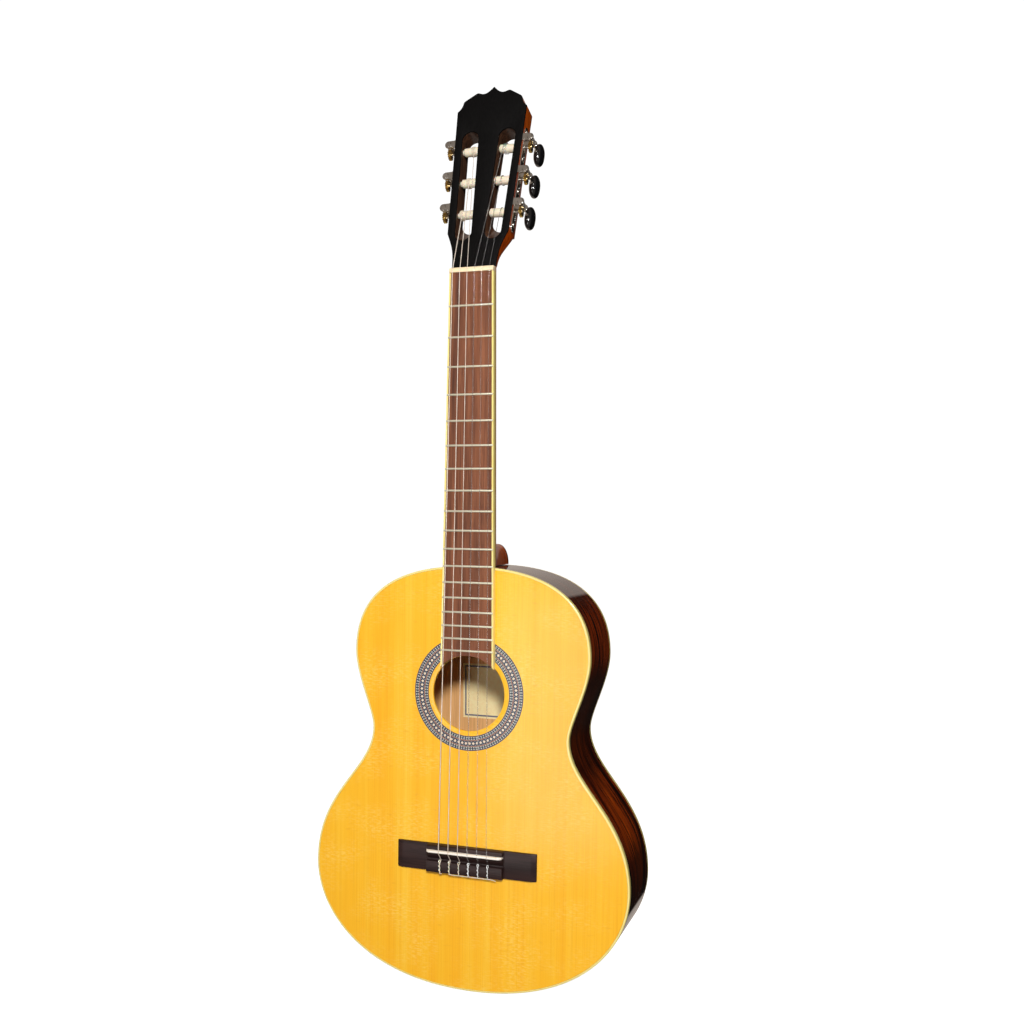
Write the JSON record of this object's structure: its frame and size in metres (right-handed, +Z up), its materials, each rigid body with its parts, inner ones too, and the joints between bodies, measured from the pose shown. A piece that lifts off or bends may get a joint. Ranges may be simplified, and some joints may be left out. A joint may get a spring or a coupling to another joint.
{
  "type": "classical guitar",
  "caption": "Classical guitar with a braced hollow body, soundhole and rosette, fretted neck, tied nylon strings and a slotted head with worm-geared tuners.",
  "frame": {"origin": "front edge of the nut, on the plane of symmetry, level with the outer face of the soundboard; this is where a hanger yoke takes the neck", "axes": "+Z up the neck towards the head, +Y from the soundboard into the body, +X towards the treble side"},
  "size_m": [0.381, 0.1213, 1.0374],
  "materials": {
    "soundboard_spruce": "gloss lacquer over straight-grained golden spruce",
    "brace_spruce": "bare sanded spruce",
    "rosewood": "high-gloss lacquer over dark striped rosewood",
    "rosette_inlay": "gloss lacquer over blue, cream and brown mosaic inlay",
    "binding": "gloss, cream yellow",
    "mahogany": "gloss lacquer over orange-red mahogany",
    "lining_wood": "bare sanded",
    "head_black": "satin black lacquer",
    "fingerboard_rosewood": "satin, open vertical grain, nickel frets",
    "bridge_wood": "satin, very dark brown",
    "bone": "satin bone white",
    "roller_ivory": "satin ivory",
    "button_black": "high gloss black",
    "nickel": "polished nickel, slightly worn",
    "brass": "plain machined brass",
    "nylon": "clear nylon",
    "wound_string": "silver-plated winding"
  },
  "bodies": {
    "root": {"soundboard": "soundboard_spruce", "harmonic_bar_upper": "brace_spruce", "harmonic_bar_lower": "brace_spruce", "fan_bracing": "brace_spruce", "side_bass": "rosewood", "side_treble": "rosewood", "back": "rosewood", "rosette": "rosette_inlay", "top_binding": "binding", "back_binding": "binding", "fingerboard_binding_bass": "binding", "fingerboard_binding_treble": "binding", "neck": "mahogany", "neck_block": "mahogany", "tail_block": "mahogany", "top_lining": "lining_wood", "back_lining": "lining_wood", "back_brace_1": "lining_wood", "back_brace_2": "lining_wood", "back_brace_3": "lining_wood", "head_veneer": "head_black", "fingerboard": "fingerboard_rosewood", "bridge": "bridge_wood", "heel_cap": "bridge_wood", "nut": "bone", "saddle": "bone", "tuner_plate_bass": "nickel", "tuner_plate_treble": "nickel", "string_1": "nylon", "string_2": "nylon", "string_3": "nylon", "string_4": "wound_string", "string_5": "wound_string", "string_6": "wound_string"},
    "tuner_1": {"worm_shaft_1": "nickel", "tuner_button_1": "button_black"},
    "roller_1": {"string_roller_1": "roller_ivory", "worm_gear_1": "brass"},
    "tuner_2": {"worm_shaft_2": "nickel", "tuner_button_2": "button_black"},
    "roller_2": {"string_roller_2": "roller_ivory", "worm_gear_2": "brass"},
    "tuner_3": {"worm_shaft_3": "nickel", "tuner_button_3": "button_black"},
    "roller_3": {"string_roller_3": "roller_ivory", "worm_gear_3": "brass"},
    "tuner_4": {"worm_shaft_4": "nickel", "tuner_button_4": "button_black"},
    "roller_4": {"string_roller_4": "roller_ivory", "worm_gear_4": "brass"},
    "tuner_5": {"worm_shaft_5": "nickel", "tuner_button_5": "button_black"},
    "roller_5": {"string_roller_5": "roller_ivory", "worm_gear_5": "brass"},
    "tuner_6": {"worm_shaft_6": "nickel", "tuner_button_6": "button_black"},
    "roller_6": {"string_roller_6": "roller_ivory", "worm_gear_6": "brass"}
  },
  "joints": [
    {"name": "tuner_1_turn", "type": "hinge", "parent": "root", "child": "tuner_1", "pos_m": [0.04609, 0.02945, 0.07894], "axis": [0, 0.9641, -0.2656], "continuous": true},
    {"name": "roller_1_turn", "type": "hinge", "parent": "root", "child": "roller_1", "pos_m": [0.04577, 0.02717, 0.07068], "axis": [0.9993, -0.0098, -0.0355], "continuous": true},
    {"name": "tuner_2_turn", "type": "hinge", "parent": "root", "child": "tuner_2", "pos_m": [0.04756, 0.04006, 0.11748], "axis": [0, 0.9641, -0.2656], "continuous": true},
    {"name": "roller_2_turn", "type": "hinge", "parent": "root", "child": "roller_2", "pos_m": [0.04725, 0.03779, 0.10922], "axis": [0.9993, -0.0098, -0.0355], "continuous": true},
    {"name": "tuner_3_turn", "type": "hinge", "parent": "root", "child": "tuner_3", "pos_m": [0.04904, 0.05068, 0.15602], "axis": [0, 0.9641, -0.2656], "continuous": true},
    {"name": "roller_3_turn", "type": "hinge", "parent": "root", "child": "roller_3", "pos_m": [0.04872, 0.0484, 0.14776], "axis": [0.9993, -0.0098, -0.0355], "continuous": true},
    {"name": "tuner_4_turn", "type": "hinge", "parent": "root", "child": "tuner_4", "pos_m": [-0.04904, 0.05068, 0.15602], "axis": [0, 0.9641, -0.2656], "continuous": true},
    {"name": "roller_4_turn", "type": "hinge", "parent": "root", "child": "roller_4", "pos_m": [-0.04872, 0.0484, 0.14776], "axis": [0.9993, 0.0098, 0.0355], "continuous": true},
    {"name": "tuner_5_turn", "type": "hinge", "parent": "root", "child": "tuner_5", "pos_m": [-0.04756, 0.04006, 0.11748], "axis": [0, 0.9641, -0.2656], "continuous": true},
    {"name": "roller_5_turn", "type": "hinge", "parent": "root", "child": "roller_5", "pos_m": [-0.04725, 0.03779, 0.10922], "axis": [0.9993, 0.0098, 0.0355], "continuous": true},
    {"name": "tuner_6_turn", "type": "hinge", "parent": "root", "child": "tuner_6", "pos_m": [-0.04609, 0.02945, 0.07894], "axis": [0, 0.9641, -0.2656], "continuous": true},
    {"name": "roller_6_turn", "type": "hinge", "parent": "root", "child": "roller_6", "pos_m": [-0.04577, 0.02717, 0.07068], "axis": [0.9993, 0.0098, 0.0355], "continuous": true}
  ],
  "couplings": [
    {"joint": "roller_1_turn", "follows": "tuner_1_turn", "ratio": 0.071429},
    {"joint": "roller_2_turn", "follows": "tuner_2_turn", "ratio": 0.071429},
    {"joint": "roller_3_turn", "follows": "tuner_3_turn", "ratio": 0.071429},
    {"joint": "roller_4_turn", "follows": "tuner_4_turn", "ratio": 0.071429},
    {"joint": "roller_5_turn", "follows": "tuner_5_turn", "ratio": 0.071429},
    {"joint": "roller_6_turn", "follows": "tuner_6_turn", "ratio": 0.071429}
  ]
}
